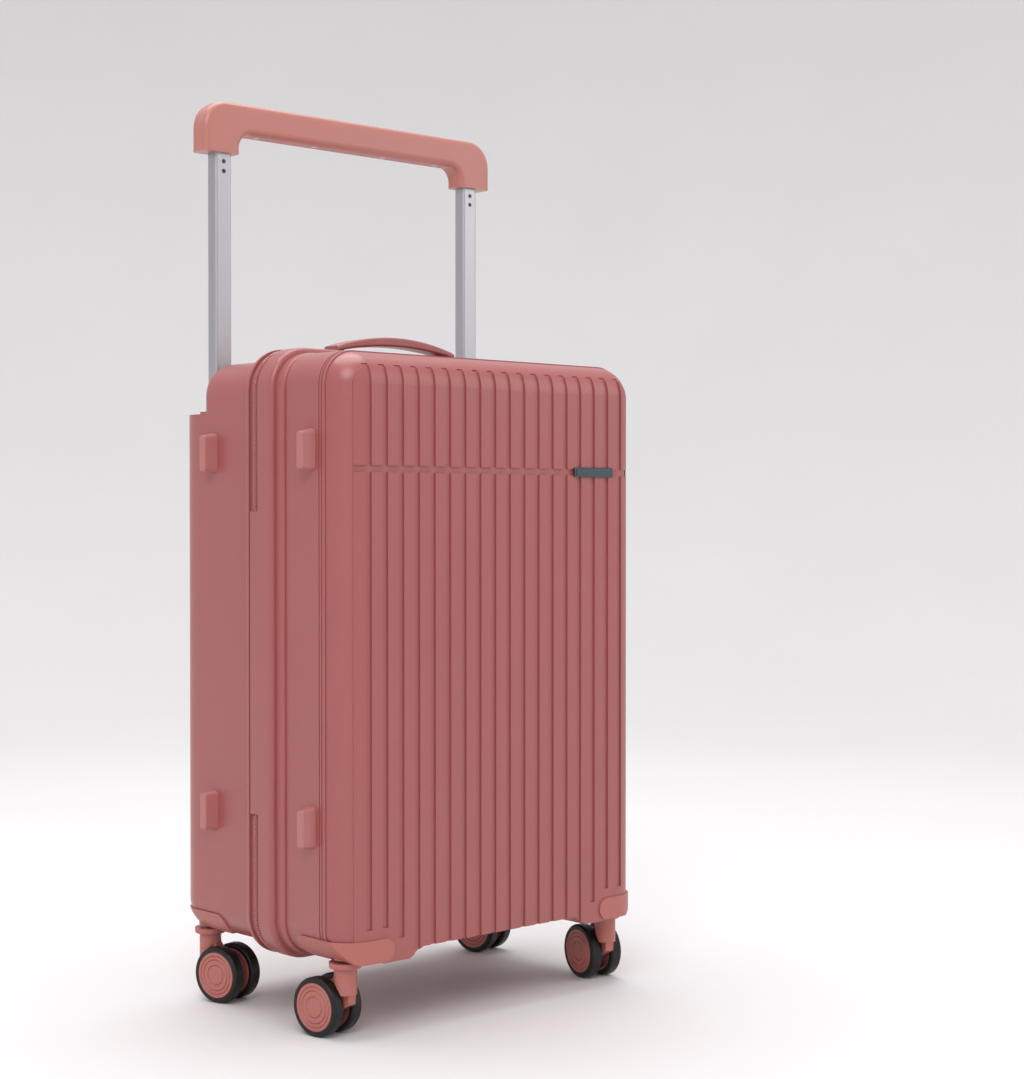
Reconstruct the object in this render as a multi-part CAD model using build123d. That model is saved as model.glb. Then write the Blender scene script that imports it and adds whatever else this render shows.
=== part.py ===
"""Hard shell spinner suitcase with a wide trolley handle, one STEP file per separate piece.

Everything is modelled in case coordinates, in millimetres: X = 0 is the middle of the case,
Y = 0 is its front face with +Y towards the trolley, and Z = 0 is the floor.  `save` then moves
each piece so that the origin is on the floor under the middle of the whole suitcase.
"""
from build123d import *
import os

# ---------------------------------------------------------------- driving dimensions, mm
CASE_WIDTH = 422.0          # across the flat sides of both shells
CASE_DEPTH = 290.0          # front face to the back of the trolley bulge
SHELL_BASE_Z = 75.0         # underside of the shells above the floor
FRONT_TOP_Z = 690.0         # top of the front shell
REAR_TOP_Z = FRONT_TOP_Z - 4.0
HALF = CASE_WIDTH / 2
MIDDLE_Z = (SHELL_BASE_Z + FRONT_TOP_Z) / 2
CORNER_R = 36.0             # corners as seen from the front
FACE_R = 34.0               # edge between the front or back face and the sides
WALL = 2.5                  # shell thickness

TUBE_X = HALF - 32.8        # axes of the trolley tubes
TUBE_Y = CASE_DEPTH - 33.55
GRIP_DEEP = 27.0
GRIP_ROOM = 0.55            # between the lowered grip and the upper back plane
UPPER_BACK_Y = TUBE_Y - GRIP_DEEP / 2 - GRIP_ROOM
UPPER_BACK_R = 11.0
LEDGE_Z = REAR_TOP_Z - 54.0         # ledge where the trolley tubes enter the rear shell
LEDGE_STEP_Z = LEDGE_Z - 17.0       # small step just under the ledge
LEDGE_STEP = 5.5

SPLIT_Y = 137.0             # plane where the two zip rows meet, and the hinge line
ZIP_GAP = 0.1               # each zip row stops this far from the split plane
BAND_OUT = 9.0              # how far the rim bands stand out from the shell sides
BAND_WALL = 2.5
LIP_OUT = 3.0               # low raised stripe in front of the front band
LIP_Y = 94.0
BAND_Y = 107.0              # front band starts here
FRONT_RIM_Y = 130.0         # front band ends here
REAR_RIM_Y = 145.5          # rear band starts here
REAR_BAND_LENGTH = 8.0
BAND_EDGE_R = 5.0
CHANNEL_FLOOR = 5.0         # solid part of a band before its hollow channel
TAPE_THICK = 1.8            # zip tape under the bands
TAPE_LAP = 13.0             # tape glued under the front band
REAR_TAPE_LAP = 3.0
COIL_WIDTH = 2.7
COIL_OUT = 2.0
HINGE_LOW_Z = 216.0         # the zip stops here on the hinge side
HINGE_HIGH_Z = FRONT_TOP_Z - 162.0
HINGE_TONGUE = 6.5          # plain band past the split plane in the hinge stretch
HINGE_GAP = 0.3

GROOVE_PITCH = 21.0
GROOVE_EDGE = 32.5          # first groove's axis, in from the side
GROOVE_COUNT = int((CASE_WIDTH - 2 * GROOVE_EDGE) / GROOVE_PITCH) + 1
GROOVE_WIDTH = 7.0
GROOVE_DEPTH = 2.0
GROOVE_TOP_Z = FRONT_TOP_Z - 14.5
GROOVE_SIDE_END_Z = 110.5   # the outer grooves stop above the wheel guards
GROOVE_THIRD_END_Z = 98.0
CROSS_GROOVE_Z = FRONT_TOP_Z - 119.3        # the one level groove
CROSS_GROOVE_WIDTH = 6.8
PANEL_INSET = 16.5          # crease round the front panel, in from the outline
PANEL_RAISE = 1.2
BEAD_Y = 34.0               # pair of fine lines round the sides
BEAD_PITCH = 4.0
BEAD_WIDTH = 1.6
BEAD_DEPTH = 0.7
ARCH_HALF_LOW = HALF - 85.0         # raised arch in the front shell's underside
ARCH_HALF_HIGH = ARCH_HALF_LOW - 18.0
ARCH_RISE = 10.0
ARCH_DEPTH = 92.0

BADGE_X = HALF - 74.3
BADGE_WIDTH = 59.0
BADGE_HEIGHT = 10.5
BADGE_THICK = 2.5

FOOT_OUT = 14.0             # side feet on the hinge side
FOOT_LENGTH = 43.0
FOOT_WIDTH = 16.0
FOOT_TAPER = 12.0
FOOT_HIGH_Z = FRONT_TOP_Z - 100.5
FOOT_LOW_Z = 210.5
FOOT_FRONT_Y = 53.0
FOOT_REAR_Y = CASE_DEPTH - 67.5

STEM_X = HALF - 25.0        # caster swivel axes
STEM_FRONT_Y = 29.0
STEM_REAR_Y = CASE_DEPTH - 25.0
POCKET_Z = 79.0             # recess in the shell over each caster
POCKET_X = HALF - 51.0
POCKET_LENGTH = 66.0        # along Y from the front or back face
POCKET_R = 12.0
GUARD_SKIN = 1.8            # guards stand this far out of the shells
GUARD_TOP_Z = 100.0
GUARD_BASE_Z = 76.5
GUARD_X = HALF - 64.0
GUARD_FRONT_LENGTH = 80.0
GUARD_REAR_LENGTH = 83.0
GUARD_R = 11.5              # rounded ends of the guards
COLLAR_R = 16.7
BOSS_R = 12.0
BOSS_TOP_Z = 100.0
BOSS_GAP = 0.15
FORK_TOP_Z = 70.0
SWIVEL_GAP = 0.4
PIN_R = 4.0
PIN_LOW_Z = 50.0
RUNNING = 0.05              # radial clearance of every turning fit

WHEEL_R = 30.0
TRAIL = 25.0
WHEEL_INNER = 6.2           # wheel faces, from the middle of the twin wheel
WHEEL_OUTER = 20.0
HUB_R = 24.6
HUB_CAP = 2.0               # closed end of each hub over the axle
AXLE_R = 2.5
STEM_R = 11.7
STEM_LOW_Z = 44.0
BLADE = 10.4
HUB_RINGS = (10.5, 16.5, 20.5)
RING_DEPTH = 0.9
RING_HALF = 0.7             # half the width of a ring groove at the face

TUBE_WIDE = 21.5            # trolley
TUBE_DEEP = 16.0
TUBE_WALL = 1.3
TUBE_GAP = 0.3
OUTER_WALL = 1.5
TRAVEL = 278.7
OUTER_LOW_Z = 105.0
OUTER_TOP_Z = LEDGE_Z - 7.0
INNER_LOW_Z = OUTER_LOW_Z + TRAVEL + 21.3
COLLAR_RISE = 4.0
COLLAR_MARGIN = 4.0
LEG_REST = 0.3              # between a collar and the leg of the lowered grip

GRIP_LEG_Z = LEDGE_Z + COLLAR_RISE + LEG_REST + TRAVEL
GRIP_UNDER_Z = GRIP_LEG_Z + 22.5
GRIP_TOP_Z = GRIP_LEG_Z + 55.5
GRIP_HALF = TUBE_X + 27.8
GRIP_LEG_IN = TUBE_X - 19.2
TUBE_PIN_Z = (GRIP_LEG_Z - 19.5, GRIP_LEG_Z - 9.0)
TUBE_PIN_R = 2.4
TUBE_PIN_PROUD = 0.1
GRIP_OUT_R = 30.0
GRIP_IN_R = 16.0
GRIP_EDGE_R = 7.0
TUBE_IN_GRIP = 22.0
COVER_HALF = GRIP_LEG_IN - 9.0
COVER_DEEP = 17.0
COVER_THICK = 3.0
SCREW_OUT_X = COVER_HALF - 21.0
SCREW_MID_X = 49.5
SCREW_X = (-SCREW_OUT_X, -SCREW_MID_X, SCREW_MID_X, SCREW_OUT_X)
SCREW_HEAD_R = 3.2
SCREW_R = 1.6
BUTTON_HALF = 32.0
BUTTON_DEEP = 13.0
BUTTON_RISE = -0.3          # the button stops just under the grip's top
BUTTON_TRAVEL = 4.0
BUTTON_GAP = 0.4
ROD_R = 2.0
ROD_LOW_Z = INNER_LOW_Z + 20.0
BAR_HIGH = 5.0
BAR_Z = GRIP_UNDER_Z + 15.5

HANDLE_HALF = 78.0          # top and side carry handles
HANDLE_RISE = 35.0
HANDLE_WIDE = 24.0
HANDLE_THICK = 10.0
HANDLE_EDGE_R = 2.4
HANDLE_LIFT = 4.0
HANDLE_Y = REAR_RIM_Y + 36.5
SIDE_HANDLE_Y = REAR_RIM_Y + 48.5
SIDE_HANDLE_Z = MIDDLE_Z + 6.5
BRACKET_LONG = 24.0
BRACKET_WIDE = 27.0
BRACKET_HIGH = 16.0
TAB_LONG = 12.0
TAB_WIDE = 15.0
TAB_GAP = 0.5
CROSS_PIN_R = 2.0
CROSS_PIN_Z = 10.5

LOCK_Z = SIDE_HANDLE_Z      # combination lock beside the zip
LOCK_Y = REAR_RIM_Y + 21.5
LOCK_HIGH = 64.0
LOCK_WIDE = 19.0
LOCK_OUT = 12.0
DIAL_R = 6.0
DIAL_THICK = 5.0
DIAL_PITCH = 8.0
DIAL_PROUD = 1.5
DIAL_LOW_Z = LOCK_Z + 10.0
SPINDLE_R = 1.2
LOCK_BUTTON_Z = LOCK_Z - 20.0
LOCK_BUTTON_R = 4.0
LOCK_BUTTON_OUT = 3.0

SLIDER_Z = (LOCK_Z + 35.0, LOCK_Z - 21.0)   # the two zip sliders, closed
SLIDER_LONG = 15.0
SLIDER_WIDE = 11.0
SLIDER_THICK = 4.5
SLIDER_GAP = 0.3
EAR = 2.2
PULL_LONG = 29.0
PULL_WIDE = 7.0
PULL_THICK = 2.0
PULL_PIN_R = 1.1

LINING_THICK = 2.0
LINING_FRONT_Y = 16.0
LINING_BACK_ROOM = 2.0
LINING_REAR_Y = UPPER_BACK_Y - WALL - LINING_BACK_ROOM - LINING_THICK
LINING_GAP = 8.0            # lining panels stay this far inside the shells
STRAP_WIDE = 25.0
STRAP_THICK = 1.5
STRAP_HALF_X = HALF - 33.0
STRAP_HALF_Z = 150.0
STRAP_MID_Z = MIDDLE_Z - 7.5
BUCKLE = 46.0

RIM_TOP_Z = (FRONT_TOP_Z + REAR_TOP_Z) / 2
ORIGIN_X = (HANDLE_RISE - FOOT_OUT) / 2
ORIGIN_Y = (CASE_DEPTH - BADGE_THICK) / 2
LEFT, RIGHT = -1, 1
ALONG_Y = (0, 1, 0)
ALONG_X = (1, 0, 0)
REACH = 400.0               # longer than any cut has to be


def save(name, shape):
    """Write one piece, moved into the frame of the whole suitcase."""
    export_step(Pos(-ORIGIN_X, -ORIGIN_Y, 0) * shape, f"parts/{name}.step")


def block(x, y, z):
    """A box from three (low, high) pairs."""
    sizes = [high - low for low, high in (x, y, z)]
    middle = [(low + high) / 2 for low, high in (x, y, z)]
    return Pos(*middle) * Box(*sizes)


def post(x, y, radius, z_low, z_high):
    """An upright cylinder."""
    return Pos(x, y, (z_low + z_high) / 2) * Cylinder(radius, z_high - z_low)


def rod_y(x, z, radius, y_low, y_high):
    """A cylinder along Y."""
    return Pos(x, (y_low + y_high) / 2, z) * Rot(90, 0, 0) * Cylinder(radius, y_high - y_low)


def rod_x(y, z, radius, x_low, x_high):
    """A cylinder along X."""
    return Pos((x_low + x_high) / 2, y, z) * Rot(0, 90, 0) * Cylinder(radius, x_high - x_low)


def outline_y(points, y_low, y_high):
    """A solid whose X-Z outline is a closed run of straight lines."""
    face = Plane.XZ * make_face(Polyline(*points, close=True))
    return Pos(0, y_low, 0) * extrude(face, y_high - y_low, dir=ALONG_Y)


def rounded_y(width, z_low, z_high, radius, y_low, y_high):
    """A solid with a rounded X-Z outline, between two depths."""
    face = Plane.XZ * Pos(0, (z_low + z_high) / 2) * RectangleRounded(width, z_high - z_low, radius)
    return Pos(0, y_low, 0) * extrude(face, y_high - y_low, dir=ALONG_Y)


def rim(out, y_low, y_high):
    """The shell outline grown outwards, as the bands and the zip follow it."""
    return rounded_y(CASE_WIDTH + 2 * out, SHELL_BASE_Z - out, RIM_TOP_Z + out, CORNER_R + out, y_low, y_high)


def mirrored(shape):
    """The left-hand piece and its twin on the right."""
    return shape, mirror(shape, Plane.YZ)


def solids(*shapes):
    """Several separate solids kept together in one node."""
    return Compound(children=[solid for shape in shapes for solid in shape.solids()])


# ---------------------------------------------------------------- the shells
def corner_pockets(y_low, y_high, grow):
    """Recesses over two casters; each is cut from the shell with its walls kept whole."""
    long_x = REACH - POCKET_X + grow
    face = Pos(POCKET_X - grow + long_x / 2, (y_low + y_high) / 2) * RectangleRounded(
        long_x, y_high - y_low, POCKET_R + grow)
    right = extrude(face, POCKET_Z + grow)
    return right + mirror(right, Plane.YZ)


def front_block(grow):
    """The front shell's outer form, grown or shrunk: round edges at the top and sides, a flat foot."""
    width, top_z, radius = CASE_WIDTH + 2 * grow, FRONT_TOP_Z + grow, CORNER_R + grow
    whole = rounded_y(width, SHELL_BASE_Z - grow, top_z, radius, -grow, FRONT_RIM_Y)
    tall = rounded_y(width, SHELL_BASE_Z - 2 * CORNER_R - FACE_R, top_z, radius, -grow, FRONT_RIM_Y)
    tall = fillet(tall.faces().sort_by(Axis.Y)[0].edges(), FACE_R + grow)
    return tall & whole


def front_form(inset):
    """The front shell's form, shrunk by a wall."""
    arch_top = SHELL_BASE_Z + ARCH_RISE + inset
    arch = outline_y([(-ARCH_HALF_LOW - inset, 0), (ARCH_HALF_LOW + inset, 0),
                      (ARCH_HALF_LOW + inset, SHELL_BASE_Z), (ARCH_HALF_HIGH + inset, arch_top),
                      (-ARCH_HALF_HIGH - inset, arch_top), (-ARCH_HALF_LOW - inset, SHELL_BASE_Z)],
                     -REACH, ARCH_DEPTH + inset)
    return front_block(-inset) - arch - corner_pockets(-REACH, POCKET_LENGTH + inset, inset)


def groove_slots(margin):
    """Boxes that mark where the pressed grooves run, widened by a margin."""
    slots = []
    half = GROOVE_WIDTH / 2 + margin
    for number in range(GROOVE_COUNT):
        x = (number - (GROOVE_COUNT - 1) / 2) * GROOVE_PITCH
        from_edge = min(number, GROOVE_COUNT - 1 - number)
        low = {0: GROOVE_SIDE_END_Z, 1: GROOVE_SIDE_END_Z, 2: GROOVE_THIRD_END_Z}.get(from_edge)
        low = SHELL_BASE_Z + GROOVE_DEPTH if low is None else low
        slots.append(block((x - half, x + half), (-margin - 1, FACE_R), (low - margin, GROOVE_TOP_Z + margin)))
    half_cross = CROSS_GROOVE_WIDTH / 2 + margin
    reach = HALF - PANEL_INSET + margin
    slots.append(block((-reach, reach), (-margin - 1, FACE_R),
                       (CROSS_GROOVE_Z - half_cross, CROSS_GROOVE_Z + half_cross)))
    return slots


def band(y_low, y_high, out, edge_end):
    """A raised band round the rim with one rounded edge."""
    ring = rim(out, y_low, y_high)
    edge = ring.faces().sort_by(Axis.Y)[edge_end].edges()
    return fillet(edge, min(BAND_EDGE_R, out * 0.8))


def caster_holes(y):
    """Holes for the swivel bosses of the two guards at this depth."""
    right = post(STEM_X, y, BOSS_R + BOSS_GAP, 0, BOSS_TOP_Z + BOSS_GAP)
    return right + mirror(right, Plane.YZ)


def front_shell():
    panel = rounded_y(CASE_WIDTH - 2 * PANEL_INSET, SHELL_BASE_Z - 1, FRONT_TOP_Z - PANEL_INSET,
                      CORNER_R - PANEL_INSET, -1, FACE_R)
    edge_skin = front_block(1) - front_block(-PANEL_RAISE)
    edge_skin -= block((-REACH, REACH), (BEAD_Y - BEAD_PITCH, REACH), (0, REACH * 2))
    form = front_form(0) - (edge_skin - panel)
    form += band(LIP_Y, BAND_Y + 1, LIP_OUT, 0)
    form += band(BAND_Y, FRONT_RIM_Y, BAND_OUT, 0)
    tongue = rim(BAND_OUT, FRONT_RIM_Y, SPLIT_Y + HINGE_TONGUE) & hinge_stretch()
    form += tongue
    cavity = front_form(WALL)
    cavity += rim(BAND_OUT - BAND_WALL, BAND_Y + CHANNEL_FLOOR, REACH)
    ribs = cavity & (front_block(-WALL) - front_block(-WALL - GROOVE_DEPTH))
    wide = Compound(children=groove_slots(WALL))
    form -= cavity - (ribs & wide)
    skin = front_block(1) - front_block(-GROOVE_DEPTH)
    for slot in groove_slots(0):
        form -= slot & skin
    for y in (BEAD_Y, BEAD_Y + BEAD_PITCH):
        ring = rounded_y(CASE_WIDTH + 2, SHELL_BASE_Z - 1, FRONT_TOP_Z + 1, CORNER_R + 1, y, y + BEAD_WIDTH)
        ring -= rounded_y(CASE_WIDTH - 2 * BEAD_DEPTH, SHELL_BASE_Z + BEAD_DEPTH, FRONT_TOP_Z - BEAD_DEPTH,
                          CORNER_R - BEAD_DEPTH, y, y + BEAD_WIDTH)
        form -= ring - block((-REACH, REACH), (0, REACH), (0, POCKET_Z + WALL))
    return form - caster_holes(STEM_FRONT_Y)


def rear_block(grow, back_y, back_r):
    """A rear shell form with its own back plane."""
    form = rounded_y(CASE_WIDTH + 2 * grow, SHELL_BASE_Z - grow, REAR_TOP_Z + grow, CORNER_R + grow,
                     REAR_RIM_Y, back_y + grow)
    return fillet(form.faces().sort_by(Axis.Y)[-1].edges(), back_r + grow)


def rear_form(inset):
    """The rear shell's form: full depth under the trolley ledge, shallower above it."""
    low = rear_block(-inset, CASE_DEPTH, FACE_R)
    low -= block((-REACH, REACH), (0, REACH), (LEDGE_Z - inset, REACH * 2))
    low -= block((-REACH, REACH), (CASE_DEPTH - LEDGE_STEP - inset, REACH), (LEDGE_STEP_Z - inset, REACH * 2))
    form = low + rear_block(-inset, UPPER_BACK_Y, UPPER_BACK_R)
    return form - corner_pockets(CASE_DEPTH - POCKET_LENGTH - inset, CASE_DEPTH + REACH, inset)


def tube_collar_block(side, grow, z_low, z_high):
    """The outline of a tube collar; it stays behind the upper back plane."""
    half = TUBE_WIDE / 2 + COLLAR_MARGIN + grow
    front = UPPER_BACK_Y + HINGE_GAP - grow
    back = TUBE_Y + TUBE_DEEP / 2 + COLLAR_MARGIN * 2 + grow
    return block((side * TUBE_X - half, side * TUBE_X + half), (front, back), (z_low, z_high))


def rear_shell():
    form = rear_form(0)
    form += band(REAR_RIM_Y, REAR_RIM_Y + REAR_BAND_LENGTH, BAND_OUT, -1)
    cavity = rear_form(WALL)
    cavity += rim(BAND_OUT - BAND_WALL, REAR_RIM_Y, REAR_RIM_Y + REAR_BAND_LENGTH - BAND_WALL)
    form -= cavity
    for side in (LEFT, RIGHT):
        form -= tube_collar_block(side, 0, LEDGE_Z - 2 * WALL, LEDGE_Z + WALL)
    return form - caster_holes(STEM_REAR_Y)


def side_feet(y):
    """Two tapered feet on the hinge side, to stand the case on that side."""
    face = Plane.YZ * RectangleRounded(FOOT_WIDTH, FOOT_LENGTH, FOOT_WIDTH / 3)
    foot = extrude(face, FOOT_OUT, dir=(-1, 0, 0), taper=FOOT_TAPER)
    foot = fillet(foot.faces().sort_by(Axis.X)[0].edges(), 1.5)
    return solids(*[Pos(-HALF, y, z) * foot for z in (FOOT_LOW_Z, FOOT_HIGH_Z)])


def badge():
    plate = block((BADGE_X - BADGE_WIDTH / 2, BADGE_X + BADGE_WIDTH / 2), (-BADGE_THICK, 0),
                  (CROSS_GROOVE_Z - BADGE_HEIGHT / 2, CROSS_GROOVE_Z + BADGE_HEIGHT / 2))
    plate = fillet(plate.edges().filter_by(Axis.Y), 1.5)
    return chamfer(plate.faces().sort_by(Axis.Y)[0].edges(), 0.8)


# ---------------------------------------------------------------- zip and hinge
def hinge_stretch():
    """The stretch of the hinge side that has no zip."""
    return block((-REACH, -HALF + CORNER_R / 2), (0, REACH), (HINGE_LOW_Z, HINGE_HIGH_Z))


def zip_tape(y_low, y_high):
    out = BAND_OUT - BAND_WALL
    return rim(out, y_low, y_high) - rim(out - TAPE_THICK, y_low, y_high) - hinge_stretch()


def zip_coil(y_low, y_high):
    out = BAND_OUT - BAND_WALL
    coil = rim(out + COIL_OUT, y_low, y_high) - rim(out, y_low, y_high)
    return coil - hinge_stretch()


def hinge_strip():
    """The cloth strip inside the hinge side that joins the two shells."""
    out = BAND_OUT - BAND_WALL - HINGE_GAP
    low, high = FRONT_RIM_Y - TAPE_LAP, REAR_RIM_Y + REAR_TAPE_LAP
    strip = rim(out, low, high) - rim(out - TAPE_THICK, low, high)
    return strip & block((-REACH, 0), (0, REACH), (HINGE_LOW_Z + 1, HINGE_HIGH_Z - 1))


def zip_slider(z):
    """A slider on the coils, with two ears and a cross pin for its pull."""
    x = HALF + BAND_OUT - BAND_WALL + COIL_OUT + SLIDER_GAP
    half = SLIDER_WIDE / 2
    body = block((x, x + SLIDER_THICK), (SPLIT_Y - half, SPLIT_Y + half), (z - SLIDER_LONG / 2, z + SLIDER_LONG / 2))
    body = fillet(body.edges().filter_by(Axis.X), 2.5)
    gap = PULL_WIDE / 2 - EAR + SLIDER_GAP
    pin_x = x + SLIDER_THICK + PULL_THICK
    for side in (LEFT, RIGHT):
        low, high = sorted((SPLIT_Y + side * gap, SPLIT_Y + side * (gap + EAR)))
        body += block((x + SLIDER_THICK, pin_x + EAR), (low, high), (z - EAR, z + EAR))
    return body + rod_y(pin_x, z, PULL_PIN_R, SPLIT_Y - gap - 1, SPLIT_Y + gap + 1)


def zip_pull(z):
    """The hanging tab of a slider: a narrow neck with an eye, then a wider tab."""
    x = HALF + BAND_OUT - BAND_WALL + COIL_OUT + SLIDER_GAP + SLIDER_THICK + PULL_THICK
    neck = PULL_WIDE / 2 - EAR
    thick = PULL_THICK / 2
    eye = rod_y(x, z, PULL_PIN_R + RUNNING + 0.8, SPLIT_Y - neck, SPLIT_Y + neck)
    eye += block((x - thick, x + thick), (SPLIT_Y - neck, SPLIT_Y + neck), (z - 9, z - PULL_PIN_R))
    tab = block((x - thick, x + thick), (SPLIT_Y - PULL_WIDE / 2, SPLIT_Y + PULL_WIDE / 2),
                (z - PULL_LONG, z - 8))
    tab = fillet(tab.edges().filter_by(Axis.X), 2.0)
    return eye + tab - rod_y(x, z, PULL_PIN_R + RUNNING, SPLIT_Y - REACH, SPLIT_Y + REACH)


# ---------------------------------------------------------------- casters
def guard(front):
    """The right-hand corner guard that holds a caster."""
    stem_y = STEM_FRONT_Y if front else STEM_REAR_Y
    low_y, high_y = (-REACH, GUARD_FRONT_LENGTH) if front else (CASE_DEPTH - GUARD_REAR_LENGTH, REACH)
    grown = front_block(GUARD_SKIN) if front else rear_block(GUARD_SKIN, CASE_DEPTH, FACE_R)
    plain = front_block(0) if front else rear_block(0, CASE_DEPTH, FACE_R)
    long_x, long_y = REACH - GUARD_X, high_y - low_y
    high = GUARD_TOP_Z - GUARD_BASE_Z
    middle_z = (GUARD_TOP_Z + GUARD_BASE_Z) / 2
    seen_front = Plane.XZ * Pos(GUARD_X + long_x / 2, middle_z) * RectangleRounded(long_x, high, GUARD_R)
    seen_side = Plane.YZ * Pos((low_y + high_y) / 2, middle_z) * RectangleRounded(long_y, high, GUARD_R)
    region = Pos(0, -REACH, 0) * extrude(seen_front, 2 * REACH, dir=ALONG_Y)
    region &= extrude(seen_side, REACH, dir=ALONG_X)
    skin = (grown - plain) & region
    skin -= block((0, REACH), (CASE_DEPTH, REACH), (0, REACH))
    margin = SWIVEL_GAP
    pocket_y = (-REACH, POCKET_LENGTH - margin) if front else (CASE_DEPTH - POCKET_LENGTH + margin, REACH)
    plate_face = Pos((POCKET_X + margin + REACH) / 2, sum(pocket_y) / 2) * RectangleRounded(
        REACH - POCKET_X - margin, pocket_y[1] - pocket_y[0], POCKET_R)
    plate = Pos(0, 0, GUARD_BASE_Z) * extrude(plate_face, POCKET_Z - GUARD_BASE_Z)
    plate &= grown
    collar = post(STEM_X, stem_y, COLLAR_R, FORK_TOP_Z + SWIVEL_GAP, GUARD_BASE_Z)
    collar = fillet(collar.faces().sort_by(Axis.Z)[0].edges(), 2.0)
    boss = post(STEM_X, stem_y, BOSS_R, POCKET_Z, BOSS_TOP_Z)
    bore = post(STEM_X, stem_y, PIN_R, 0, BOSS_TOP_Z)
    return skin + plate + collar + boss - bore


def swivel_pins(y):
    """The steel pins that the two forks at this depth turn on."""
    return solids(*mirrored(post(STEM_X, y, PIN_R, PIN_LOW_Z, BOSS_TOP_Z)))


def blade_outline():
    """Side view of the fork's blade: trail along Y, height along Z."""
    boss = Pos(TRAIL, WHEEL_R) * Circle(AXLE_R + 6)
    web = make_face(Polyline((1 - STEM_R, 58), (STEM_R - 1, 62), (TRAIL + 6, WHEEL_R + 4), (TRAIL + 2, WHEEL_R - 7),
                             (TRAIL - 14, WHEEL_R - 6), (3 - STEM_R, WHEEL_R + 4), close=True))
    return Plane.YZ * (web + boss)


def fork():
    """The swivelling fork: a round stem above a blade between the two wheels."""
    stem = post(0, 0, STEM_R, STEM_LOW_Z, FORK_TOP_Z)
    blade = Pos(-BLADE / 2, 0, 0) * extrude(blade_outline(), BLADE, dir=ALONG_X)
    wheel_room = rod_x(TRAIL, WHEEL_R, WHEEL_R + 2, BLADE / 2 + SWIVEL_GAP, REACH)
    stem -= wheel_room + mirror(wheel_room, Plane.YZ)
    body = stem + blade
    body -= rod_x(TRAIL, WHEEL_R, AXLE_R + RUNNING, -BLADE, BLADE)
    return body - post(0, 0, PIN_R + RUNNING, PIN_LOW_Z - SWIVEL_GAP, REACH)


def wheel_half(profile):
    """A ring turned about the axle from (radius, distance from the middle) points."""
    face = make_face(Polyline(*profile, close=True))
    turned = revolve(Plane.XZ * face, Axis.Z, 360)
    return Pos(0, TRAIL, WHEEL_R) * Rot(0, 90, 0) * turned


def hub():
    """One hub with its disc cap, pressed on the axle."""
    face = [(AXLE_R, WHEEL_INNER), (AXLE_R + 5, WHEEL_INNER), (AXLE_R + 5, WHEEL_OUTER - 4),
            (HUB_R - 3, WHEEL_OUTER - 4), (HUB_R - 3, WHEEL_INNER + 1), (HUB_R, WHEEL_INNER + 1),
            (HUB_R, WHEEL_OUTER - 0.6), (HUB_R - 0.6, WHEEL_OUTER)]
    for radius in reversed(HUB_RINGS):
        face += [(radius + RING_HALF, WHEEL_OUTER), (radius, WHEEL_OUTER - RING_DEPTH), (radius - RING_HALF, WHEEL_OUTER)]
    face += [(0, WHEEL_OUTER), (0, WHEEL_OUTER - HUB_CAP), (AXLE_R, WHEEL_OUTER - HUB_CAP)]
    return wheel_half(face)


def tyre():
    """One soft tyre round a hub."""
    ring = wheel_half([(HUB_R, WHEEL_INNER), (WHEEL_R, WHEEL_INNER), (WHEEL_R, WHEEL_OUTER), (HUB_R, WHEEL_OUTER)])
    return fillet(ring.edges().filter_by(GeomType.CIRCLE).group_by(SortBy.RADIUS)[-1], 3.0)


def axle():
    return rod_x(TRAIL, WHEEL_R, AXLE_R, -WHEEL_OUTER + HUB_CAP, WHEEL_OUTER - HUB_CAP)


def caster(name, x, y, turn):
    """The fork, axle, hubs and tyres of one caster, turned to where it trails."""
    place = Pos(x, y, 0) * Rot(0, 0, turn)
    save(f"fork_{name}", place * fork())
    save(f"axle_{name}", place * axle())
    save(f"hubs_{name}", place * solids(*mirrored(hub())))
    save(f"tyres_{name}", place * solids(*mirrored(tyre())))


# ---------------------------------------------------------------- trolley
def tube(x, wide, deep, wall, z_low, z_high):
    """An upright rectangular tube."""
    height = z_high - z_low
    outer = Pos(x, TUBE_Y) * RectangleRounded(wide, deep, 3.0)
    inner = Pos(x, TUBE_Y) * RectangleRounded(wide - 2 * wall, deep - 2 * wall, 3.0 - wall)
    return Pos(0, 0, z_low) * extrude(outer - inner, height)


def outer_tube():
    wide = TUBE_WIDE + 2 * (TUBE_GAP + OUTER_WALL)
    deep = TUBE_DEEP + 2 * (TUBE_GAP + OUTER_WALL)
    return tube(TUBE_X, wide, deep, OUTER_WALL, OUTER_LOW_Z, OUTER_TOP_Z)


def inner_tube():
    whole = tube(TUBE_X, TUBE_WIDE, TUBE_DEEP, TUBE_WALL, INNER_LOW_Z, GRIP_LEG_Z + TUBE_IN_GRIP)
    for z in TUBE_PIN_Z:
        whole -= rod_y(TUBE_X, z, TUBE_PIN_R, 0, TUBE_Y)
    return whole


def tube_pins():
    """The black pins in the front of each tube under the grip."""
    front = TUBE_Y - TUBE_DEEP / 2
    pins = [rod_y(side * TUBE_X, z, TUBE_PIN_R, front - TUBE_PIN_PROUD, front + TUBE_WALL)
            for side in (LEFT, RIGHT) for z in TUBE_PIN_Z]
    return solids(*pins)


def tube_collar():
    """The collar where a tube leaves the ledge."""
    body = tube_collar_block(RIGHT, 0, OUTER_TOP_Z + TUBE_GAP, LEDGE_Z + COLLAR_RISE)
    clear = Pos(TUBE_X, TUBE_Y) * Rectangle(TUBE_WIDE + 2 * TUBE_GAP, TUBE_DEEP + 2 * TUBE_GAP)
    return body - extrude(clear, REACH * 2)


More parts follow.
